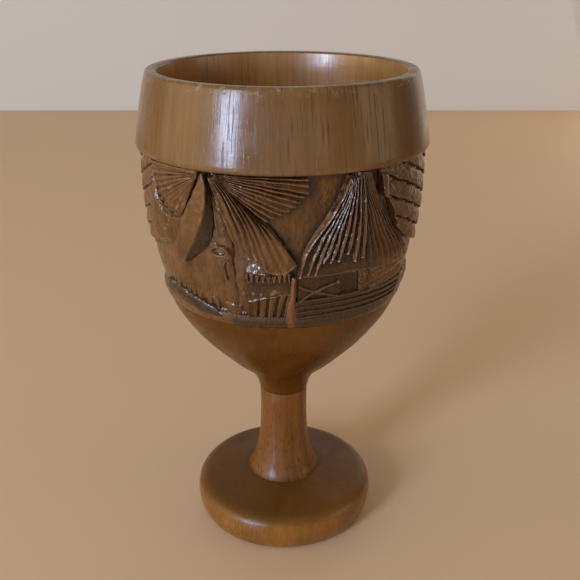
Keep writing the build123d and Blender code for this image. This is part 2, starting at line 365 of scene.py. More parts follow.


# %% [markdown]
# The carving is knife work. Stain gathers in its hollows in patches, and painted shade lies there with it,
# its creases are painted nearly black as shade, and its crests get a painted highlight. Pointiness tells
# crests from creases, and the stain_and_shade number tells how deep a place lies. Two sizes of cuts give the
# glossy surface its many small glints.

# %% Carved wood
def carved_wood(name, tones, roughness, pores, shine):
    """Knife-cut hardwood, with stain and painted shade in its hollows, painted shade in its creases and a
    painted highlight on its crests.
    """
    wood = Recipe(name)
    dark = tones[2]
    # Colour of the painted highlight on the crests.
    painted_crest_highlight = (0.34, 0.19, 0.10)
    colour, fibre, pore_mask = bare_wood(wood, tones, pores, pores_a_metre=100)
    patchy = wood.cloud((150, 150, 90), offset=(3, 8, 1), detail=4, rough=0.65)
    colour = wood.shade(colour, wood.grey(patchy, 0.32, 0.66, 0.60, 1.0))
    stain_and_shade = wood.attribute("stain_and_shade")
    speck = wood.cloud((420, 420, 300), offset=(4, 4, 8), detail=4, rough=0.7)
    specks = wood.math("MULTIPLY", wood.math("SUBTRACT", speck, 0.5), 0.35)
    # Stain and painted shade darken the hollows.
    stain_and_shade_mask = wood.grey(wood.math("ADD", stain_and_shade, specks), 0.08, 0.66, 0.0, 0.92)
    colour = wood.mix(stain_and_shade_mask, colour, darker(dark, 0.20))
    # Pointiness paints shade into the creases and a highlight onto the crests.
    crease = wood.add("ShaderNodeNewGeometry").outputs["Pointiness"]
    colour = wood.mix(wood.grey(crease, 0.41, 0.495, 0.65, 0.0), colour, darker(dark, 0.20))
    colour = wood.mix(wood.grey(crease, 0.505, 0.57, 0.0, 0.50), colour, painted_crest_highlight)
    knife = wood.cloud((330, 330, 230), offset=(5, 3, 7), detail=3, rough=0.6)
    chips = wood.cloud((800, 800, 520), offset=(8, 2, 3), detail=2, rough=0.5)
    relief = rippled(wood, wood.bump(fibre, 0.05, 0.45))
    relief = wood.bump(chips, 0.45, 0.85, wood.bump(knife, 0.70, 0.8, relief))
    polish(wood, roughness, shine, pore_mask, stain_and_shade, dulled=0.05)
    return finish_wood(wood, colour, relief, pore_mask)


# %% [markdown]
# Six finishes come from the two recipes. The hollow is palest, as painted light inside it, and the cup under
# the frieze is darkest. The stem and the foot are redder than the band, and the stem's pores are the
# shortest.

# %% The six finishes
band_wood = turned_wood("band_wood", ((0.255, 0.122, 0.034), (0.185, 0.086, 0.022), (0.12, 0.053, 0.013)),
                        roughness=(0.18, 0.31), pores=0.95, pores_a_metre=75, unrolled=49, wear=0.6)
hollow_wood = turned_wood("hollow_wood", ((0.50, 0.235, 0.060), (0.37, 0.166, 0.039), (0.25, 0.104, 0.023)),
                          roughness=(0.27, 0.39), pores=0.5, pores_a_metre=60, shine=1.0)
cup_wood = turned_wood("cup_wood", ((0.185, 0.068, 0.007), (0.130, 0.045, 0.0043), (0.085, 0.028, 0.0027)),
                       roughness=(0.24, 0.38), pores=0.3, shine=0.2)
carving_tones = ((0.27, 0.113, 0.026), (0.180, 0.071, 0.0150), (0.105, 0.038, 0.0078))
carving_wood = carved_wood("carving_wood", carving_tones, roughness=(0.10, 0.24), pores=0.4, shine=0.6)
stem_wood = turned_wood("stem_wood", ((0.36, 0.138, 0.026), (0.23, 0.083, 0.014), (0.12, 0.040, 0.0065)),
                        roughness=(0.22, 0.36), pores=1.0, pores_a_metre=420, shine=0.4, unrolled=10)
foot_wood = turned_wood("foot_wood", ((0.36, 0.142, 0.020), (0.25, 0.094, 0.012), (0.14, 0.049, 0.006)),
                        roughness=(0.20, 0.36), pores=0.6, stain_and_shade_share=0.72, wear=0.6)

# %% [markdown]
# A line of edges spun once round the axis is what a lathe does, so spin makes all three turned pieces.
# The first and last points lie on the axis, and merging the doubles there closes the piece.

# %% Turn a piece
def nowhere(turn, radius, height):
    """No extra stain, no painted shade and no wear."""
    return 0.0


def turned(name, line, material, steps=192, sharp=38, shape=None, stained=nowhere, rubbed=nowhere):
    """Spin a line of (radius, height) points round the axis into one closed piece."""
    work = bmesh.new()
    verts = [work.verts.new((radius * MM, 0, height * MM)) for radius, height in line]
    for first, second in zip(verts, verts[1:]):
        work.edges.new((first, second))
    bmesh.ops.spin(work, geom=work.verts[:] + work.edges[:], cent=(0, 0, 0), axis=(0, 0, 1), dvec=(0, 0, 0),
                   angle=2 * pi, steps=steps, use_merge=True, use_duplicate=False)
    bmesh.ops.remove_doubles(work, verts=work.verts, dist=0.01 * MM)
    bmesh.ops.recalc_face_normals(work, faces=work.faces)
    stain_and_shade_number = work.verts.layers.float.new("stain_and_shade")
    rubbed_number = work.verts.layers.float.new("rubbed")
    for vert in work.verts:
        place = turner_terms(vert.co)
        vert[stain_and_shade_number] = stained(*place)
        vert[rubbed_number] = rubbed(*place)
        if shape:
            shape(vert)
    return finish_piece(name, work, material, sharp)


def arc(start, middle, end, count):
    """Points of a smooth bend from start to end that is drawn towards its middle point."""
    points = []
    for i in range(count + 1):
        share = i / count
        weights = ((1 - share) ** 2, 2 * share * (1 - share), share ** 2)
        points.append(tuple(sum(w * p[k] for w, p in zip(weights, (start, middle, end))) for k in (0, 1)))
    return points


# %% [markdown]
# The foot is a thick disc with a rounded edge, turned with a low dome that rises to the stem. Its top
# took more stain than its side, and it is chipped where it stands.

# %% Turn the foot
foot_line = [(0, 0), (31.6, 0)] + arc((31.6, 0), (34.6, 0.0), (35.5, 3.6), 6)
foot_line += arc((35.5, 3.6), (36.9, 8.2), (35.6, 11.8), 8)[1:]
foot_line += arc((35.6, 11.8), (34.3, 14.3), (31.0, 14.9), 8)[1:]
foot_line += arc((31.0, 14.9), (23.5, 16.0), (15.5, 17.6), 8)[1:] + [(0, foot_top)]


def foot_stain(turn, radius, height):
    """The top took more stain than the rounded side, and it is a little paler on the right."""
    paler_right = 0.30 * fade(turn, 5, 60) * (1 - fade(turn, 120, 170))
    return fade(height, 10.5, 15.2) * (1 - paler_right)


def foot_wear(turn, radius, height):
    """The lower edge is chipped, and the widest part is a little rubbed."""
    lower_edge = fade(radius, 30.5, 33.5) * (1 - fade(height, 0.6, 3.4))
    return lower_edge + 0.25 * fade(radius, 34.4, 36.0)


turned("foot_turned", foot_line, foot_wood, stained=foot_stain, rubbed=foot_wear)
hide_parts("foot")

# %% [markdown]
# The stem flares at its lower end and runs nearly straight up to the bowl. Both ends reach into their
# neighbours, as its tenons do, so that no gap shows. Stain gathers at the two joints.

# %% Turn the stem
tenon_below, tenon_above = 6, 4
stem_line = [(0, foot_top - tenon_below), (14.7, foot_top - 0.9), (14.8, foot_top - 0.4)]
stem_line += arc((14.8, foot_top - 0.4), (12.8, 20.2), (11.3, 26.0), 14)[1:]
stem_line += arc((11.3, 26.0), (9.7, 31.5), (9.4, 41.5), 10)[1:]
stem_line += [(9.32, 46), (9.3, 50), (9.35, 54.6), (9.1, bowl_foot - 0.15), (0, bowl_foot + tenon_above)]


def stem_stain(turn, radius, height):
    """Stain gathers where the stem meets the foot and the bowl."""
    at_foot = 1.0 - fade(height, foot_top - 0.6, foot_top + 2.2)
    return at_foot + 0.35 * fade(height, bowl_foot - 1.2, bowl_foot)


turned("stem_turned", stem_line, stem_wood, stained=stem_stain)
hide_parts("stem")

# %% [markdown]
# The bowl is one line from the stem up the cup, over the ground of the frieze, under the band's sharp
# lower edge, over the rim and down the hollow.

# %% The bowl's line
cup_line = [(0, 60), (9.1, bowl_foot + 0.1), (9.5, bowl_foot + 0.5), (9.8, 57), (10.3, 59), (11.25, 61),
            (12.5, 63.2), (14.1, 65.0), (15.4, 66.2), (19.9, 70), (23.9, 74), (27.7, 78), (31.4, 82),
            (34.6, 86), (37.4, 90), (39.3, 93), (41.0, 96), (42.3, 99), (42.9, 100.6), (43.15, 101.4)]
ledge_line = [(43.5, 101.7), (43.95, 102.4), (44.3, 103.6), (44.45, 104.8), (44.35, 105.9), (43.7, 106.5)]
ground_line = [(ground(z), z) for z in [107.0 + 0.6 * i for i in range(80)]]
band_line = [(47.5, 154.9), (50.2, 154.9)] + arc((50.2, 154.9), (51.15, 155.0), (51.3, 156.0), 5)[1:]
band_line += [(51.15, 157.2), (50.7, 160), (50.25, 163.5), (49.6, 166.8), (48.9, 170), (48.3, 173)]
band_line += [(47.5, 176.5), (46.75, 179.0)] + arc((46.75, 179.0), (46.5, 179.9), (45.8, rim_top), 4)[1:]
hollow_line = [(43.6, rim_top)] + arc((43.6, rim_top), (42.85, 179.95), (42.7, 179.2), 4)[1:]
hollow_line += [(42.7, 172), (42.7, 160), (42.7, 148), (42.7, 138), (42.4, 130), (41.7, 123.6),
                (40.6, 117.8), (39.2, 112.6), (37.2, 106.6), (34.7, 100.6), (32.0, 94.9), (28.8, 89.3),
                (24.9, 84.2), (20.2, 79.9), (14.6, 76.7), (8.5, 74.8), (0, 74)]
bowl_line = cup_line + ledge_line + ground_line + band_line + hollow_line
print("points on the bowl's line", len(bowl_line))

# %% [markdown]
# The ground between the forms is worked unevenly, as a gouge leaves it, while the turned parts stay true. The
# ledge gets a painted dark reflection, the ground gets painted shade, more of it to the right, and the rim
# and the band's lower edge are worn.

# %% Turn the bowl
frieze_radius = 43
ground_bottom, ground_top = 107.6, 154.0


def gouged(vert):
    """Work the ground of the frieze unevenly, and leave the turned parts true."""
    radius, height = turner_terms(vert.co)[1:]
    if ground_bottom < height < ground_top and radius > frieze_radius:
        place = vert.co / MM
        scale = 1 + 0.35 * wander(place, 0.16, 3) / radius + 0.18 * wander(place, 0.45, 8) / radius
        vert.co.x *= scale
        vert.co.y *= scale


def bowl_stain(turn, radius, height):
    """A painted dark reflection on the ledge under the little hut, and a little painted shade on the ground,
    more to the right.
    """
    if radius < frieze_radius or not 101.5 < height < 154.8:
        return 0.0
    ledge = (1 - fade(height, 105.2, 106.8)) * fade(turn, -24, -20) * (1 - 0.8 * fade(turn, 30, 60))
    return 0.7 * ledge + 0.08 + 0.16 * fade(turn, -12, 4)


def bowl_wear(turn, radius, height):
    """Wear along the rim's outer edge and the band's lower edge."""
    rim = fade(height, 178.2, 179.3) * fade(radius, 44.6, 45.8)
    lower_edge = fade(radius, 50.7, 51.1) * (1 - fade(height, 156.2, 157.4))
    return rim + 0.6 * lower_edge


turned("bowl_turned", bowl_line, cup_wood, steps=400, sharp=32, shape=gouged,
       stained=bowl_stain, rubbed=bowl_wear)
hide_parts("bowl")

# %% [markdown]
# The bowl is one piece of wood with four finishes, so its faces are told apart by where they lie: the
# hollow, the band, the ground of the frieze, and the cup, which keeps the first finish.

# %% Finish the bowl
bowl_mesh = made["bowl_turned"].data
for finish in (carving_wood, band_wood, hollow_wood):
    bowl_mesh.materials.append(finish)
cup_finish, frieze_finish, band_finish, hollow_finish = range(4)
hollow_bottom, hollow_radius = 73, 42.9
frieze_bottom, band_bottom = 102, 154.6


def bowl_finish(face):
    """Which of the bowl's four finishes a face gets."""
    radius, height = turner_terms(face.center)[1:]
    faces_axis = face.normal.x * face.center.x + face.normal.y * face.center.y < 0
    if faces_axis and height > hollow_bottom and radius < hollow_radius:
        return hollow_finish
    if height > band_bottom:
        return band_finish
    if height > frieze_bottom and radius > frieze_radius:
        return frieze_finish
    return cup_finish


for face in bowl_mesh.polygons:
    face.material_index = bowl_finish(face)
print("bowl finishes", [m.name for m in bowl_mesh.materials])

# %% [markdown]
# Every form of the frieze is drawn the way a carver marks it out: a few strokes from its top to its
# tips, each a list of (turn, height) points. A share across the strokes and a share along them name
# every point of the form, and a cut says how far it lies behind the turned surface.

# %% Draw a form
def through(points, share):
    """Point at a share of the way along a smooth line through the points."""
    spans = len(points) - 1
    at = min(max(share, 0.0), 1.0) * spans
    i = min(int(at), spans - 1)
    t = at - i
    near = (points[min(max(i + k, 0), spans)] for k in (-1, 0, 1, 2))
    return tuple(
        0.5 * (2 * b + (c - a) * t + (2 * a - 5 * b + 4 * c - d) * t ** 2 + (3 * b - a - 3 * c + d) * t ** 3)
        for a, b, c, d in zip(*near)
    )


def spot(strokes, u, v):
    """Turn and height of a share across and a share along the strokes."""
    return through([through(stroke, v) for stroke in strokes], u)


def uprights(*marks):
    """Upright strokes from (turn, top, bottom) marks."""
    return [[(turn, top), (turn, bottom)] for turn, top, bottom in marks]


def evenly(amount):
    """A cut or a stain that is the same all over a form."""
    return lambda u, v: amount


def off_middle(share):
    """0 on the middle line, 1 at either edge."""
    return abs(2 * share - 1)


def carve(group, strokes, cut, along=24, across=24, edge=0.25, seed=0, tips=(1, 0.0), stain=evenly(0.0)):
    """Add a form to a group: its strokes, how far the cut lies behind the turned surface, its grid, the bevel
    of its rim, how many tips it has and how far they are cut back between, and its painted shade."""
    group.append(dict(strokes=strokes, cut=cut, along=along, across=across, edge=edge, seed=seed, tips=tips,
                      stain=stain))


def strand(group, middle, narrow, wide, cut, **work):
    """A form drawn by its middle line and its half width in degrees at the top and at its rounded tip."""
    last = len(middle) - 1
    rounded_tip = 0.45
    halves = [narrow + (wide - narrow) * (i / last) ** 0.8 for i in range(last + 1)]
    halves[last] *= rounded_tip
    sides = [[(turn + side * half, height) for half, (turn, height) in zip(halves, middle)]
             for side in (-1, 0, 1)]
    carve(group, sides, cut, **work)


# %% [markdown]
# Fans, hems, grass and thatch are rows of ribs. A saw wave makes the row, and noise makes the ribs as
# uneven in spacing and depth as a hand cuts them.

# %% Rows of ribs
def saw(share, count):
    """How far a share lies from the nearest ridge of a row of ribs: 0 on a ridge, 1 in a cut."""
    return abs((share * count) % 1.0 - 0.5) * 2


def combed(u, v, count, power, seed):
    """Ribs as a hand cuts them: uneven in spacing and in depth."""
    shifted = u + 0.16 / count * wander((u * count, v * 2.5, 0), 0.9, seed)
    deep = 0.85 + 0.5 * wander((int(u * count) * 3.7, v * 2, 1), 0.7, seed + 1)
    return saw(shifted, count) ** power * deep


# %% [markdown]
# A form starts as a flat grid, and extruding it gives a back and a front that are joined all round. Both
# are pressed onto the bowl: the front at the depth of its cut, and the back inside the wood, so that the
# form stands up from the ground without a seam. Last, the front's rim is bevelled, as a knife breaks an
# edge.

# %% Build a form
mm_in_a_degree = 0.9
back_depth = 1.4
most_proud = 0.1
sideways, upwards, inwards = 0.30, 0.20, 0.15


def grid_with_back(across, along):
    """A grid and its extruded copy, each point with its shares across and along, and the copy's rim."""
    work = bmesh.new()
    work.verts.layers.float.new("stain_and_shade")
    bmesh.ops.create_grid(work, x_segments=across, y_segments=along, size=0.5)
    back = {vert: (vert.co.x + 0.5, vert.co.y + 0.5) for vert in work.verts}
    raised = bmesh.ops.extrude_face_region(work, geom=work.faces[:])["geom"]
    front = {v: (v.co.x + 0.5, v.co.y + 0.5) for v in raised if isinstance(v, bmesh.types.BMVert)}
    rim = [edge for edge in raised if isinstance(edge, bmesh.types.BMEdge)
           and any(vert not in front for face in edge.link_faces for vert in face.verts)]
    return work, back, front, rim


def build_form(form, place, flip):
    """Lay one form on the bowl at a place round it, mirrored if flip is -1."""
    work, back, front, rim = grid_with_back(form["across"], form["along"])
    stain_and_shade = work.verts.layers.float["stain_and_shade"]
    tip_count, cut_back = form["tips"]
    seed = form["seed"]
    for vert, (u, v) in [*back.items(), *front.items()]:
        turn, height = spot(form["strokes"], u, v * (1 - cut_back * saw(u, tip_count) ** 2))
        turn += sideways * wander((turn * mm_in_a_degree, height, 0), 0.22, seed + 1)
        height += upwards * wander((turn * mm_in_a_degree, height, 4), 0.22, seed + 2)
        height = min(height, under_band)
        if vert in front:
            unevenness = inwards * wander((turn * mm_in_a_degree, height, 9), 0.5, seed + 5)
            radius = skin(height, max(form["cut"](u, v) + unevenness, -most_proud))
        else:
            radius = ground(height) - back_depth
        vert.co = round_axis(place + flip * turn, radius, height)
        vert[stain_and_shade] = form["stain"](u, v)
    if form["edge"]:
        bmesh.ops.bevel(work, geom=rim, offset=form["edge"] * MM, offset_type="OFFSET", segments=2,
                        profile=0.5, affect="EDGES", material=-1, clamp_overlap=True)
    bmesh.ops.recalc_face_normals(work, faces=work.faces)
    if work.calc_volume(signed=True) < 0:
        bmesh.ops.reverse_faces(work, faces=work.faces)
    return work


# %% [markdown]
# The palm stands at the left of the front. A folded leaf hangs on its left: a bright face that rises
# to a ridge in the middle, and a steep dark face beyond it.

# %% The palm's folded leaf
palm = []
leaf = [
    [(-29.6, 154.5), (-33.2, 148.0), (-38.2, 140.6), (-42.6, 134.0), (-45.8, 127.8), (-44.4, 123.8)],
    [(-29.2, 154.5), (-30.8, 148.2), (-34.4, 140.6), (-38.6, 134.0), (-42.8, 127.2), (-42.8, 122.9)],
    [(-28.6, 154.5), (-27.8, 149.0), (-28.9, 142.4), (-32.2, 135.2), (-36.8, 128.6), (-40.8, 123.0)],
    [(-27.9, 154.3), (-27.1, 149.0), (-27.4, 142.4), (-29.2, 135.6), (-33.8, 128.4), (-39.8, 123.0)],
    [(-27.2, 154.0), (-26.4, 148.4), (-26.1, 142.2), (-26.7, 136.2), (-30.2, 129.6), (-38.8, 123.4)],
]


def leaf_cut(u, v):
    """A bright face that rises to the ridge, a steep dark face, and a tip that turns in."""
    if u < 0.5:
        face = 0.9 * (1 - 2 * u) * (1 - 0.3 * v)
    else:
        face = 2.5 * (2 * u - 1) ** 0.9
    return 0.15 + face + 0.5 * max(0.0, v - 0.85)


# The steep face gets painted shade, and painted light takes a little of the shade off the bright face.
carve(palm, leaf, leaf_cut, along=44, across=24, seed=11,
      stain=lambda u, v: 0.66 * fade(u, 0.49, 0.58) - 0.14)

# %% [markdown]
# A ribbed fan spreads from the crown to the left, under a thin strip that follows the band.

# %% The palm's left fan
left_fan = [
    [(-31.8, 154.0), (-45.0, 153.6), (-58.8, 152.8)],
    [(-31.9, 153.4), (-44.5, 150.8), (-57.4, 148.2)],
    [(-32.2, 152.6), (-43.4, 147.8), (-53.4, 143.2)],
    [(-32.6, 151.9), (-40.6, 145.8), (-48.0, 139.2)],
    [(-33.2, 151.2), (-36.8, 146.0), (-41.4, 138.2)],
]
strip = [[(-31.2, 154.7), (-45, 154.6), (-61, 154.5)], [(-31.0, 153.9), (-45, 153.7), (-61, 153.4)]]


def left_fan_cut(u, v):
    """Ten ribs that grow shallow downwards, on a face that falls away under the leaf."""
    ribs = (1 - 0.8 * fade(u, 0.55, 0.8)) * min(1.0, 0.3 + v) * combed(u, v, 10, 1.4, 7)
    return 1.2 + 1.1 * u ** 4 + 0.55 * ribs


carve(palm, left_fan, left_fan_cut, along=28, across=80, seed=12, tips=(10, 0.03))
carve(palm, strip, evenly(0.5), along=30, across=5, seed=13)

# %% [markdown]
# The trunk is round and steps outwards twice at its foot. A stalk runs down its left edge to a nut. One
# narrow strip of bark lies on the trunk below the nut, and another stands beside its foot.

# %% The palm's trunk and nut
trunk = [
    [(-27.4, 153.6), (-25.4, 148.0), (-25.4, 140.5), (-25.0, 133.5),
     (-23.8, 125.5), (-24.0, 117.8), (-24.4, 110.8), (-24.9, 103.8)],
    [(-26.8, 153.4), (-24.4, 147.2), (-22.8, 139.8), (-21.8, 133.2),
     (-21.2, 125.5), (-21.2, 117.8), (-20.9, 110.8), (-20.6, 103.4)],
    [(-26.2, 153.0), (-23.4, 146.4), (-20.4, 139.2), (-18.6, 133.0),
     (-18.8, 125.8), (-18.2, 117.8), (-17.3, 110.8), (-16.3, 103.0)],
]
nut = uprights((-26.8, 129.9, 129.1), (-25.4, 130.8, 128.2), (-23.2, 131.1, 127.9), (-21.0, 130.8, 128.2),
               (-19.6, 129.9, 129.1))


def trunk_cut(u, v):
    """A round trunk with a stalk down its left edge and two steps at its foot."""
    steps = 0.55 * fade(v, 0.862, 0.872) - 0.75 * fade(v, 0.900, 0.908) + 0.75 * fade(v, 0.930, 0.942)
    stalk = 1 - fade(v, 0.40, 0.46)
    bead = 0.8 * max(0.0, 1 - abs(u - 0.14) / 0.14) * stalk
    return 1.2 + off_middle(u) ** 2 + 0.35 * fade(v, 0.2, 0.5) + 0.35 * stalk - bead - steps


def trunk_stain(u, v):
    """Painted shade on the upper trunk beside its stalk, between the leaf and the low fan."""
    return 0.3 * fade(u, 0.28, 0.4) * fade(v, 0.08, 0.2) * (1 - fade(v, 0.38, 0.46))


def nut_cut(u, v):
    """A raised ring round a sunk middle."""
    return 0.25 + 0.9 * (1 - fade(hypot(2 * u - 1, 2 * v - 1), 0.5, 0.8))


carve(palm, trunk, trunk_cut, along=150, across=14, seed=14, stain=trunk_stain)
carve(palm, nut, nut_cut, along=14, across=18, edge=0.15, seed=15)
strand(palm, [(-20.8, 126.6), (-22.3, 124.8), (-22.0, 122.0), (-21.6, 119.4)], 0.7, 0.25,
       lambda u, v: 0.85 + 0.5 * off_middle(u), along=14, across=6, edge=0.1, seed=18)
strand(palm, [(-14.3, 119.6), (-13.6, 114.0), (-12.9, 109.0), (-12.2, 103.8)], 0.8, 0.8,
       lambda u, v: 1.0 + 0.7 * u, along=20, across=6, edge=0.15, seed=19)

# %% [markdown]
# Two more fans spread to the right of the crown, one low over the little hut and one high under the
# band. Their ribs are deeper than those of the left fan.

# %% The palm's right fans
low_fan = [
    [(-26.4, 153.0), (-23.9, 147.5), (-21.4, 141.3), (-17.8, 133.8)],
    [(-25.2, 153.2), (-21.3, 147.2), (-17.4, 139.4), (-13.6, 130.2)],
    [(-24.2, 153.4), (-18.4, 147.0), (-13.2, 138.4), (-9.0, 126.6)],
    [(-23.4, 153.4), (-15.8, 146.4), (-9.8, 137.6), (-4.0, 123.4)],
    [(-22.6, 153.3), (-13.6, 145.6), (-5.8, 136.8), (1.2, 123.4)],
    [(-21.7, 152.6), (-11.6, 144.4), (-2.2, 136.0), (5.6, 126.2)],
]
high_fan = [
    [(-24.4, 154.6), (-8.0, 154.6), (9.2, 154.3)],
    [(-23.8, 154.1), (-7.0, 152.4), (9.0, 150.0)],
    [(-23.2, 153.5), (-8.6, 149.9), (5.6, 146.2)],
    [(-22.6, 152.9), (-11.0, 147.6), (0.2, 142.8)],
    [(-21.7, 152.2), (-13.4, 146.2), (-5.8, 140.6)],
]


def low_fan_cut(u, v):
    """Eight ribs, deepest along their middle and shallow at their tips."""
    return 0.25 + 0.95 * min(1.0, 0.3 + 2.2 * v) * (1 - 0.7 * fade(v, 0.55, 0.95)) * combed(u, v, 8, 1.25, 8)


def high_fan_cut(u, v):
    """Ten ribs that deepen away from the crown."""
    return 0.05 + 1.05 * min(1.0, 0.35 + v) * combed(u, v, 10, 1.2, 9)


carve(palm, low_fan, low_fan_cut, along=44, across=88, seed=16, edge=0.4)
carve(palm, high_fan, high_fan_cut, along=32, across=90, seed=17, tips=(10, 0.05))

# %% [markdown]
# Grass grows at the palm's foot. It is cut as a row of eight blades on a low bank, over a smooth lip
# that closes the frieze below.

# %% The palm's grass and lip
grass = [[(-56, 115.4), (-57, 108.6)], [(-47, 114.8), (-47.6, 107.6)], [(-38, 115.2), (-38.6, 107.0)],
         [(-27.4, 114.6), (-27.0, 105.6)]]
lip = uprights((-100.5, 105.6, 102.0), (-84, 105.8, 102.0), (-72, 107.2, 102.4), (-63, 110.2, 104.2),
               (-56, 111.4, 106.2), (-50, 111.2, 105.0), (-43, 110.0, 103.6), (-35, 108.6, 102.7),
               (-26, 105.4, 102.3))


def below_blades(u, v):
    """Share along a blade of grass that lies below the zigzag of its tips."""
    return v * 1.05 - (1 - saw(u, 8))


def grass_cut(u, v):
    """A bank that comes forward downwards, with notches between the blades."""
    bank = 1.1 * fade(v, 0.0, 0.6) * fade(u, 0.0, 0.1) * (1 - fade(u, 0.93, 1.0))
    return 2.8 - bank + 0.45 * fade(below_blades(u, v), 0.0, 0.45)


def lip_cut(u, v):
    """A rounded lip."""
    return 0.55 + off_middle(v) ** 2


# The notches between the blades get painted shade.
carve(palm, grass, grass_cut, along=24, across=110, edge=0, seed=20,
      stain=lambda u, v: 0.30 * fade(below_blades(u, v), 0.0, 0.3))
# The lip gets a painted dark reflection.
carve(palm, lip, lip_cut, along=14, across=60, edge=0.15, seed=21, stain=evenly(1.0))
print("forms of the palm", len(palm))

# %% [markdown]
# The little hut stands right of the trunk: a thatch slope with a toothed hem, a plain lintel, six
# leaning slats on a sill, and a flared corner post. The slats fill the spaces between drawn gaps, so
# that they lean as the wall does.

# %% The little hut
little_hut = []
thatch = [[(-13.4, 127.6), (-13.4, 122.8)], [(-10.4, 127.5), (-10.4, 122.4)], [(-6.6, 125.4), (-6.4, 122.0)],
          [(-3.2, 122.9), (-3.2, 121.7)]]
hem = uprights((-13.5, 123.0, 119.8), (-5.0, 122.2, 119.7), (3.3, 123.6, 120.2))
lintel = [[(-13.7, 120.4), (-13.8, 112.0)], [(-8.7, 120.4), (-8.7, 113.2)], [(-3.0, 120.4), (-3.0, 114.4)],
          [(3.4, 120.8), (3.4, 115.6)]]


def hem_cut(u, v):
    """Nine teeth, with the wood between them cut away downwards."""
    return 0.25 + 1.2 * fade(0.25 + 0.75 * v - (1 - saw(u, 9)), 0.0, 0.3)


carve(little_hut, thatch, lambda u, v: min(2.5, 2.1 * (1 - v) + 1.5 * (1 - u)) + 0.1, along=10, across=24,
      seed=31)
carve(little_hut, hem, hem_cut, along=14, across=99, edge=0.1, seed=32, tips=(9, 0.12))
# The lintel gets painted shade under the hem, most at its top.
carve(little_hut, lintel, lambda u, v: 1.45 - 0.5 * v, along=12, across=24, seed=33,
      stain=lambda u, v: 0.56 - 0.2 * v)

gap_tops = (-16.2, -12.6, -8.9, -4.9, -0.8, 2.4, 6.0)
gap_feet = (-14.8, -12.2, -9.9, -6.9, -3.5, -0.5, 2.0)
slat_top, slat_foot = 115.8, 103.8
half_gap_top, half_gap_foot = 0.35, 0.8
for i in range(len(gap_tops) - 1):
    start, end = gap_tops[i] + half_gap_top, gap_tops[i + 1] - half_gap_top
    foot_start, foot_end = gap_feet[i] + half_gap_foot, gap_feet[i + 1] - half_gap_foot
    slat = [[(start + (end - start) * k, slat_top), (foot_start + (foot_end - foot_start) * k, slat_foot)]
            for k in (0, 0.5, 1)]
    carve(little_hut, slat, lambda u, v: 0.9 + 0.8 * u ** 2, along=16, across=8, edge=0.15, seed=40 + i)

sill = [[(-15.0, 103.9), (-15.0, 102.2)], [(-4.0, 103.4), (-4.0, 101.5)], [(7.8, 103.2), (7.8, 101.3)]]
corner_post = [
    [(3.6, 121.6), (3.3, 115.4), (2.1, 110.8), (1.2, 106.0), (0.6, 102.4)],
    [(4.5, 121.6), (4.4, 115.4), (3.9, 110.8), (3.8, 106.0), (4.0, 102.4)],
    [(5.4, 121.6), (5.6, 115.4), (5.5, 110.8), (6.4, 106.0), (7.8, 102.4)],
]
# The sill gets painted shade.
carve(little_hut, sill, lambda u, v: 1.0 - 0.4 * v, along=6, across=24, seed=34, stain=evenly(0.5))
carve(little_hut, corner_post, lambda u, v: 0.25 + 0.8 * off_middle(u) ** 1.5, along=32, across=12, seed=35)
print("forms of the little hut", len(little_hut))

# %% [markdown]
# The big hut's roof is a bell of thatch. On the right it is combed into fine lines. On the left it is
# plain, because broad strands lie over it.

# %% The big hut's roof
big_hut = []
roof = [
    [(25.0, 154.0), (22.6, 147.0), (17.8, 140.4), (12.8, 134.4), (8.8, 129.2), (6.8, 121.6)],
    [(26.4, 154.3), (25.0, 147.0), (22.6, 140.0), (20.2, 133.0), (18.4, 127.0), (17.6, 121.4)],
    [(27.8, 154.5), (28.2, 147.0), (28.8, 140.0), (28.8, 133.0), (28.8, 127.0), (28.8, 121.8)],
    [(29.6, 154.5), (31.4, 147.0), (34.0, 140.0), (36.6, 133.0), (39.4, 127.0), (41.4, 120.6)],
    [(31.6, 154.4), (34.2, 147.0), (38.6, 140.0), (43.8, 133.0), (49.4, 127.0), (54.0, 119.8)],
    [(33.4, 154.2), (36.8, 147.0), (41.8, 139.8), (48.6, 132.6), (56.4, 127.0), (65.5, 121.0)],
]


def roof_cut(u, v):
    """Plain under the strands on the left, and combed into fine lines on the right."""
    fine = fade(u, 0.36, 0.46)
    line = 0.40 + 0.85 * min(1.0, 0.3 + v) * (1 - 0.55 * fade(v, 0.82, 0.92)) * combed(u, v, 18, 1.1, 10)
    plain_face = 1.75 - 0.8 * fade(v, 0.84, 0.92)
    return (1 - fine) * plain_face + fine * line + 0.5 * fade(u, 0.9, 1.0) + 0.3 * fade(v, 0.88, 0.93)


# The roof gets painted shade, less of it towards the right.
carve(big_hut, roof, roof_cut, along=52, across=216, seed=52,
      stain=lambda u, v: 0.46 - 0.34 * fade(u, 0.50, 0.75))

# %% [markdown]
# Nine strands share the left of the roof. Seven lines guide them, and each strand takes its place
# between the guides, so that they all part from the ridge smoothly. Their tips end unevenly.

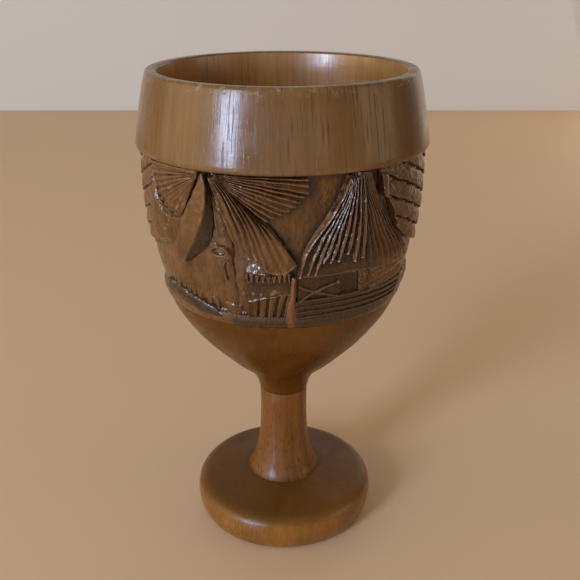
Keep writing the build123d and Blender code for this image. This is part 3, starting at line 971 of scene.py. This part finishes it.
# %% The big hut's thatch strands
strand_guides = [
    [(24.9, 153.6), (21.9, 147.4), (17.4, 141.1), (12.5, 134.9), (8.8, 129.2), (6.9, 121.6)],
    [(25.4, 153.6), (22.8, 146.6), (18.8, 139.8), (15.4, 134.0), (13.0, 127.6), (11.1, 121.6)],
    [(25.9, 153.6), (23.7, 146.0), (20.5, 139.4), (18.1, 134.0), (16.2, 129.0), (14.3, 124.2)],
    [(26.5, 153.6), (24.8, 146.8), (22.6, 140.0), (21.2, 134.4), (20.0, 130.0), (18.3, 126.0)],
    [(27.2, 153.6), (26.5, 147.4), (25.9, 141.9), (25.0, 136.6), (23.9, 132.0), (22.6, 127.6)],
    [(28.3, 153.6), (28.2, 147.4), (28.3, 141.4), (28.1, 135.6), (27.8, 130.8), (27.3, 126.2)],
    [(29.8, 153.6), (30.6, 147.4), (31.3, 141.4), (31.7, 135.6), (31.9, 130.6), (31.9, 125.4)],
]
tip_lifts = (0, 1.2, -0.4, 1.6, 0.2, -1.0, 1.4, -0.6, 0.8)


def strand_cut(u, v):
    """A rounded strand that thins at its tip."""
    return 0.02 + 0.85 * off_middle(u) ** 1.5 + 0.25 * v ** 6


for i, lift in enumerate(tip_lifts):
    share = i / (len(tip_lifts) - 1)
    line = [through(level, share) for level in zip(*strand_guides)]
    tip_turn, tip_height = line[-1]
    line[-1] = (tip_turn, tip_height + lift)
    # Each strand gets a little painted shade.
    strand(big_hut, line, 0.26, 1.18, strand_cut, along=40, across=10, edge=0.15, seed=90 + i,
           stain=evenly(0.22))

# %% [markdown]
# Under the eaves lie a wall painted dark as shade with two crossed braces, a doorway painted dark as shade in
# its recess with a jamb of small knife pricks, and a wall of slanting lines at the right. Each brace is three
# strokes side by side.

# %% The big hut's walls
brace_half = 0.6
rising_brace = [(6.4, 111.4), (12.8, 115.3), (22.8, 118.6)]
falling_brace = [(6.6, 117.8), (13.2, 115.4), (23.2, 112.8)]


def three_strokes(line, half):
    """A line with a stroke above it and one below."""
    return [[(turn, height + lift) for turn, height in line] for lift in (half, 0, -half)]


wall = [[(6.4, 122.4), (6.4, 111.4)], [(14.5, 122.4), (14.5, 111.8)], [(23.3, 122.4), (23.6, 112.2)]]
doorway = [[(23.4, 122.4), (23.8, 112.2)], [(28.0, 122.4), (28.6, 112.0)], [(32.4, 122.4), (34.0, 112.0)]]
jamb = [[(31.5, 122.0), (33.8, 111.8)], [(34.2, 122.0), (35.8, 111.6)], [(37.2, 121.6), (37.8, 111.8)]]
lined_wall = [[(37.4, 121.6), (37.8, 112.0)], [(47, 121.0), (47, 111.6)], [(61.0, 120.8), (62.0, 110.4)]]


def jamb_cut(u, v):
    """A rounded jamb, pricked all over."""
    return 0.85 + 0.3 * off_middle(u) ** 2 + 0.9 * abs(wander((u * 9, v * 20, 0), 1.9, 6))


def lined_cut(u, v):
    """Slanting lines across the wall."""
    return 1.1 + 0.8 * saw(v * 0.8 + 0.35 * u, 3) ** 1.6


# The wall gets painted shade, deepest at the top under the eaves.
carve(big_hut, wall, evenly(1.55), along=20, across=20, seed=53, stain=lambda u, v: 0.60 - 0.2 * v)
# The braces get a little painted shade.
carve(big_hut, three_strokes(rising_brace, brace_half), lambda u, v: 1.0 + 0.3 * off_middle(u),
      along=24, across=6, edge=0.15, seed=54, stain=evenly(0.28))
carve(big_hut, three_strokes(falling_brace, brace_half), lambda u, v: 1.05 + 0.3 * off_middle(u),
      along=24, across=6, edge=0.15, seed=57, stain=evenly(0.28))
# The doorway gets painted shade in its recess.
carve(big_hut, doorway, evenly(1.9), along=8, across=8, seed=58, stain=evenly(0.7))
carve(big_hut, jamb, jamb_cut, along=56, across=32, seed=55)
carve(big_hut, lined_wall, lined_cut, along=36, across=36, seed=56)

# %% [markdown]
# The hut stands on five lapped planks. Each falls back towards its lower edge, and the next one starts
# in front of that edge. A smooth lip beside them closes the frieze under the fruit.

# %% The big hut's planks and lip
top_plank, plank_step, plank_count = 113.0, 2.15, 5


def plank_cut(u, v):
    """A plank that falls back towards its lower edge."""
    return 0.75 + 0.5 * v ** 1.5 + 0.6 * fade(v, 0.7, 0.9)


for i in range(plank_count):
    high = top_plank - plank_step * i
    plank = uprights((5.6, high - 0.8, high - 3.1), (15, high - 0.2, high - 2.5), (26, high, high - 2.3),
                     (42, high - 0.2, high - 2.4), (62, high - 0.6, high - 2.8))
    # The planks get painted shade.
    carve(big_hut, plank, plank_cut, along=14, across=70, edge=0, seed=60, stain=evenly(0.56))

right_lip = uprights((60.5, 111.6, 104.4), (68, 111.4, 104.0), (84, 111.4, 104.0))
# The lip gets painted shade.
carve(big_hut, right_lip, lip_cut, along=12, across=24, edge=0.2, seed=66, stain=evenly(0.45))
print("forms of the big hut", len(big_hut))

# %% [markdown]
# The fruit is a large body under the band, cut crosswise into overlapping scales, each swelling a
# little. Two sets of slanting lines cross, and the place between four of them is one scale.

# %% The fruit
fruit_group = []
fruit = [
    [(38.8, 154.4), (43.4, 145.6), (48.6, 137.2), (53.0, 131.4), (62.5, 126.2)],
    [(50, 154.6), (54.0, 146), (58.5, 137.5), (64.5, 129.6), (71, 123.6)],
    [(68, 154.6), (69, 146), (72, 138), (76, 130), (80, 122.2)],
    [(87, 154.6), (88, 146), (88, 138), (87, 130), (87, 122.2)],
    [(103, 154.6), (105, 146), (104, 138), (100, 130), (94, 124.0)],
    [(117, 154.4), (116, 144), (112, 136), (106, 130), (99, 126.8)],
]
stalk = [[(39.6, 152.4), (40.4, 146.2)], [(41.0, 152.6), (41.6, 145.0)], [(42.8, 151.8), (43.0, 146.8)]]
scale_width, scale_height, scales_start = 18.6, 6.3, 160


def scales(turn, height):
    """Depth behind the skin of overlapping scales, whose two lower edges stand over the next ones."""
    place = (turn * 0.2, height * 0.2)
    across = (turn + 1.2 * wander((*place, 0), 1.0, 4)) / scale_width
    down = (scales_start - height + 0.7 * wander((*place, 5), 1.0, 5)) / scale_height
    slant, counter = (down + across) % 1.0, (down - across) % 1.0
    swell = 16 * slant * (1 - slant) * counter * (1 - counter)
    return 2.6 - 0.95 * (slant + counter) - 0.6 * swell ** 0.5


def fruit_cut(u, v):
    """Scales, with a little step down at the edge towards the hut."""
    return scales(*spot(fruit, u, v)) + 0.4 * (1 - fade(u, 0.0, 0.1))


# The fruit gets a little painted shade.
carve(fruit_group, fruit, fruit_cut, along=120, across=150, seed=71, edge=0.3, stain=evenly(0.06))
carve(fruit_group, stalk, lambda u, v: 0.1 + 1.2 * off_middle(u), along=10, across=8, seed=72)
print("forms of the fruit", len(fruit_group))

# %% [markdown]
# The left side of the front shows another fruit. It is worn smooth towards the palm, keeps its scales
# beyond, and its lower edge dies away beside the leaf.

# %% The worn fruit
worn_group = []
worn_fruit = [
    [(-38.4, 139.2), (-41.4, 133.6), (-44.8, 128.2)],
    [(-46.0, 138.8), (-49.2, 133.0), (-52.8, 126.6)],
    [(-53.6, 142.8), (-56.8, 134.0), (-60.0, 124.8)],
    [(-58.8, 151.0), (-62.6, 138.0), (-66.4, 124.2)],
    [(-64.0, 154.4), (-72.0, 139.5), (-75.0, 125.0)],
    [(-82.0, 154.4), (-85.0, 140.0), (-84.0, 125.5)],
    [(-100.0, 154.4), (-100.0, 142.0), (-95.0, 128.5)],
]


def worn_cut(u, v):
    """A bevel along the top, a smooth face towards the palm, and scales beyond."""
    bevel = (1 - fade(v, 0.0, 0.16)) * (1 - fade(u, 0.45, 0.6))
    tail = 1.6 * fade(v, 0.72, 1.0) * (1 - fade(u, 0.25, 0.5))
    scaled = 0.8 * fade(u, 0.34, 0.6) * scales(*spot(worn_fruit, u, v))
    return 0.25 + (1 - fade(u, 0.0, 0.22)) + bevel + tail + scaled


carve(worn_group, worn_fruit, worn_cut, along=90, across=140, seed=81, edge=0.4)
print("forms of the worn fruit", len(worn_group))

# %% [markdown]
# The scene is set round the bowl: as drawn at the front, and mirrored at the back. Each group becomes
# one piece, because its forms were cut from one blank and never part.

# %% Place the forms
back_turn, mirrored = 160, -1


def place_group(name, group, turn=0.0, flip=1):
    """Join the forms of one group into one piece at its place round the bowl."""
    joined = bmesh.new()
    for form in group:
        work = build_form(form, turn, flip)
        mesh = bpy.data.meshes.new("form")
        work.to_mesh(mesh)
        work.free()
        joined.from_mesh(mesh)
        bpy.data.meshes.remove(mesh)
    return finish_piece(name, joined, carving_wood, sharp=34)


place_group("palm_front", palm)
place_group("little_hut_front", little_hut)
place_group("big_hut_front", big_hut)
place_group("fruit_right", fruit_group)
place_group("worn_fruit_left", worn_group)
place_group("big_hut_back", big_hut, turn=back_turn, flip=mirrored)
place_group("little_hut_back", little_hut, turn=back_turn, flip=mirrored)
place_group("palm_back", palm, turn=back_turn, flip=mirrored)

# %% [markdown]
# Stain gathers where a cloth can't reach, and shade is painted there too, where little light reaches; the
# polish is duller in the same places. For each point of the carving, short rays fan out from the surface, and
# the share that soon meets wood says how much stain and painted shade lie there. The rays are spread over a
# ball by the golden angle, as seeds are in a flower head.

# %% Let the stain settle and paint the shade
reach = 4.5 * MM
lift_off = 0.15 * MM
ray_count, golden_angle = 24, 2.399963
grazing = 0.1
fan_of_rays = []
for i in range(ray_count):
    z = 1 - 2 * (i + 0.5) / ray_count
    around, flat = golden_angle * i, (1 - z * z) ** 0.5
    fan_of_rays.append(Vector((cos(around) * flat, sin(around) * flat, z)))

wood_points, wood_faces = [], []
for piece in made.values():
    first_point = len(wood_points)
    wood_points += [vert.co for vert in piece.data.vertices]
    wood_faces += [tuple(first_point + i for i in face.vertices) for face in piece.data.polygons]
all_wood = BVHTree.FromPolygons(wood_points, wood_faces)


def on_frieze(place):
    """Whether a point belongs to the frieze, and not to the hollow or the back of a form."""
    radius, height = turner_terms(place)[1:]
    return 100 < height < 156 and radius >= ground(height) - 0.6


def closed_in(vert):
    """Share of the open rays from a point that soon meet wood, nearer wood counting more."""
    start = vert.co + vert.normal * lift_off
    rays = [ray for ray in fan_of_rays if ray.dot(vert.normal) > grazing]
    met = [all_wood.ray_cast(start, ray, reach)[3] for ray in rays]
    return sum(1 - far / reach for far in met if far is not None) / len(rays)


measured = 0
for piece in made.values():
    stain_and_shade_values = piece.data.attributes["stain_and_shade"].data
    levels = [item.value for item in stain_and_shade_values]
    for vert in piece.data.vertices:
        if on_frieze(vert.co):
            levels[vert.index] += closed_in(vert)
            measured += 1
    stain_and_shade_values.foreach_set("value", levels)
print("stain settled on", measured, "points")

# %% [markdown]
# A goblet is shown on a plain pale table before a pale wall. Both are flat sheets that belong to the
# stage and not to the part.

# %% Stage
def stage_sheet(name, corners, colour, rough):
    """A flat sheet of the stage with a plain colour."""
    work = bmesh.new()
    bmesh.ops.create_grid(work, x_segments=1, y_segments=1, size=0.5)
    work.verts.ensure_lookup_table()
    spots = sorted(work.verts, key=lambda v: (v.co.y, v.co.x))
    for vert, corner in zip(spots, corners):
        vert.co = corner
    mesh = bpy.data.meshes.new(name)
    work.to_mesh(mesh)
    work.free()
    plain = Recipe(name)
    plain.shader.inputs["Base Color"].default_value = (*colour, 1)
    plain.shader.inputs["Roughness"].default_value = rough
    mesh.materials.append(plain.material)
    sheet = bpy.data.objects.new(name, mesh)
    bpy.context.collection.objects.link(sheet)


left, right, near, wall_line, wall_top = -1.6, 1.6, -1.2, 0.9, 1.6
table_top = -0.2 * MM
stage_sheet("table", [(left, near, table_top), (right, near, table_top), (left, wall_line, table_top),
                      (right, wall_line, table_top)], (0.76, 0.53, 0.31), 0.5)
stage_sheet("wall", [(left, wall_line, table_top), (right, wall_line, table_top), (left, wall_line, wall_top),
                     (right, wall_line, wall_top)], (0.80, 0.78, 0.72), 0.9)
print("stage", table_top, "to", wall_top)

# %% [markdown]
# A tall window at the front left gives the key light and the bright streak on the band. Its light is
# thrown back warm from the left and the right, the sky fills the front a little, and the wall and the
# ceiling add what a room does. Each is an area light, because broad light makes soft edges on polish.

# %% Lights
def soft_light(name, place, aim, size, power, colour):
    """A rectangular area light at a place, turned to a height above the middle of the table."""
    light = bpy.data.lights.new(name, "AREA")
    light.shape = "RECTANGLE"
    light.size, light.size_y = size
    light.energy = power
    light.color = colour
    lamp = bpy.data.objects.new(name, light)
    lamp.location = place
    lamp.rotation_euler = (Vector((0, 0, aim)) - Vector(place)).to_track_quat("-Z", "Y").to_euler()
    lamp.visible_camera = False
    bpy.context.collection.objects.link(lamp)
    print("light", name, power, "W")


soft_light("window", (-0.80, -0.93, 0.44), aim=0.13, size=(0.27, 0.60), power=14.5, colour=(0.60, 0.72, 1.0))
soft_light("left_bounce", (-1.0, -0.2, 0.35), aim=0.1, size=(0.9, 0.7), power=2.8, colour=(1.0, 0.76, 0.46))
soft_light("right_wall", (0.50, 0.80, 0.30), aim=0.1, size=(0.5, 0.6), power=0.6, colour=(1.0, 0.86, 0.70))
soft_light("front_sky", (0.1, -1.5, 0.3), aim=0.12, size=(1.6, 0.5), power=1.1, colour=(0.60, 0.76, 1.0))
soft_light("right_fill", (1.05, -0.25, 0.36), aim=0.08, size=(0.6, 0.6), power=1.4, colour=(1.0, 0.76, 0.48))
soft_light("room", (0.0, 0.1, 1.4), aim=0, size=(1.6, 1.6), power=1.2, colour=(1.0, 0.92, 0.80))

world = bpy.data.worlds.new("room_light")
world.use_nodes = True
background = world.node_tree.nodes["Background"]
background.inputs["Color"].default_value = (0.92, 0.78, 0.60, 1)
background.inputs["Strength"].default_value = 0.24
bpy.context.scene.world = world
bpy.context.scene.view_settings.view_transform = "Standard"

# %% [markdown]
# The camera stands close and looks down into the goblet, as someone at the table does. Shifting the
# view, instead of tilting the camera further, keeps the sides from leaning more.

# %% Camera
looking_down = 23.95
camera_data = bpy.data.cameras.new("camera")
camera_data.sensor_width = 36.0
camera_data.lens = 48.41
camera_data.shift_y = 0.0141
camera = bpy.data.objects.new("camera", camera_data)
camera.location = (0.0026, -0.2755, 0.2157)
camera.rotation_euler = (radians(90 - looking_down), 0, 0)
bpy.context.collection.objects.link(camera)
bpy.context.scene.camera = camera
print("camera at", tuple(camera.location))
